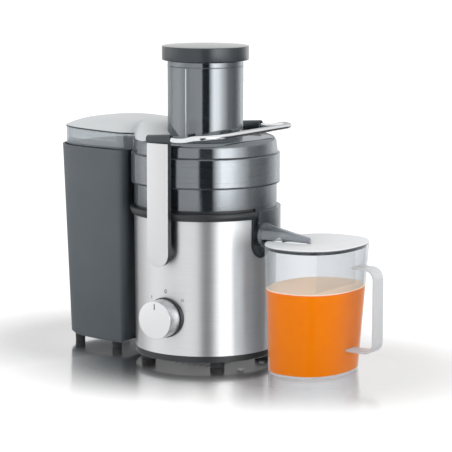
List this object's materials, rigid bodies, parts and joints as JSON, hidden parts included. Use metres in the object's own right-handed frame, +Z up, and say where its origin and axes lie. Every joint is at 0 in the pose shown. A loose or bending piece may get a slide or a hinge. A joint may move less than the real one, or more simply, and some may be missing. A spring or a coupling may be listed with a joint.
{
  "type": "centrifugal juicer",
  "caption": "Centrifugal juicer: round steel motor base, clear bowl and lid with feed tube and pusher, locking bail, side pulp bin and lidded jug under the spout.",
  "frame": {"origin": "on the worktop, on the vertical axis of the motor and the basket", "axes": "+Z up along the motor axis, -Y towards the knob and the user, +X towards the jug"},
  "size_m": [0.4588, 0.2185, 0.389],
  "materials": {
    "moulded_dark_plastic": "fine moulded grain",
    "slate_plastic": "satin moulded slate grey",
    "bin_plastic": "soft matte slate grey",
    "smoke_clear_plastic": "clear smoke-grey polycarbonate",
    "clear_jug_plastic": "clear",
    "frosted_plastic": "frosted white",
    "handle_plastic": "satin light grey",
    "knob_coating": "satin silver",
    "brushed_steel": "fine horizontal grain",
    "steel_parts": "turned and ground",
    "chrome_wire": "polished",
    "cast_aluminium": "as cast",
    "steel_laminations": "stamped sheets, varnished",
    "copper": "enamelled copper",
    "brass": "stamped",
    "carbon": "pressed carbon",
    "switch_plastic": "ivory",
    "lead_insulation": "insulated leads",
    "black_rubber": "matte"
  },
  "bodies": {
    "base": {"base_tray": "moulded_dark_plastic", "rubber_feet": "black_rubber", "tray_screws": "steel_parts", "steel_shell": "brushed_steel", "top_deck": "slate_plastic", "outlet_frame": "moulded_dark_plastic", "knob_bezel": "moulded_dark_plastic", "rotary_switch": "switch_plastic", "interlock_switch": "moulded_dark_plastic", "terminal_block": "switch_plastic", "cord_gland": "black_rubber", "wiring_leads": "lead_insulation", "motor_dampers": "black_rubber", "motor_screws": "steel_parts", "upper_motor_bracket": "cast_aluminium", "lower_motor_bracket": "cast_aluminium", "motor_bolts": "steel_parts", "stator_core": "steel_laminations", "field_coils": "copper", "brush_holders": "brass", "carbon_brushes": "carbon", "upper_bearing": "steel_parts", "lower_bearing": "steel_parts", "shaft_seal": "black_rubber", "pivot_bushes": "moulded_dark_plastic", "juice_bowl": "smoke_clear_plastic", "bowl_outlet": "smoke_clear_plastic", "lid": "smoke_clear_plastic"},
    "rotor": {"motor_shaft": "steel_parts", "armature": "steel_laminations", "commutator": "copper", "cooling_fan": "moulded_dark_plastic", "drive_coupling": "moulded_dark_plastic", "basket_hub": "moulded_dark_plastic", "grater_disc": "brushed_steel", "sieve_cone": "brushed_steel", "basket_rim": "moulded_dark_plastic"},
    "knob": {"knob_cap": "knob_coating", "knob_hub": "moulded_dark_plastic", "switch_shaft": "steel_parts"},
    "bail": {"front_arm_plate": "brushed_steel", "rear_arm_plate": "brushed_steel", "front_arm_core": "moulded_dark_plastic", "rear_arm_core": "moulded_dark_plastic", "front_grip": "moulded_dark_plastic", "rear_grip": "moulded_dark_plastic", "bail_wire": "chrome_wire", "pivot_pins": "steel_parts", "pivot_clips": "steel_parts"},
    "pusher": {"pusher_body": "smoke_clear_plastic", "pusher_cap": "slate_plastic"},
    "spout": {"spout_nozzle": "smoke_clear_plastic"},
    "jug": {"jug_body": "clear_jug_plastic", "jug_handle": "handle_plastic"},
    "jug_cover": {"jug_lid": "frosted_plastic", "foam_separator": "clear_jug_plastic"},
    "bin": {"pulp_bin": "bin_plastic", "bin_feet": "black_rubber"}
  },
  "joints": [
    {"name": "rotor_spin", "type": "hinge", "parent": "base", "child": "rotor", "pos_m": [0, 0, 0.1], "axis": [0, 0, 1], "continuous": true},
    {"name": "knob_turn", "type": "hinge", "parent": "base", "child": "knob", "pos_m": [0, -0.1, 0.062], "axis": [0, 1, 0], "range_deg": [-45, 45]},
    {"name": "bail_swing", "type": "hinge", "parent": "base", "child": "bail", "pos_m": [0, 0, 0.1415], "axis": [0, 1, 0], "range_deg": [0, 44]},
    {"name": "pusher_lift", "type": "slide", "parent": "base", "child": "pusher", "axis": [0, 0, 1], "range_m": [0, 0.18]},
    {"name": "spout_pull", "type": "slide", "parent": "base", "child": "spout", "axis": [0.9945, -0.1045, 0], "range_m": [0, 0.006]},
    {"name": "jug_slide", "type": "slide", "parent": "base", "child": "jug", "axis": [1, 0, 0], "range_m": [0, 0.15]},
    {"name": "jug_lid_lift", "type": "slide", "parent": "jug", "child": "jug_cover", "axis": [0, 0, 1], "range_m": [0, 0.1]},
    {"name": "bin_slide", "type": "slide", "parent": "base", "child": "bin", "axis": [-0.9848, 0.1736, 0], "range_m": [0, 0.15]}
  ]
}
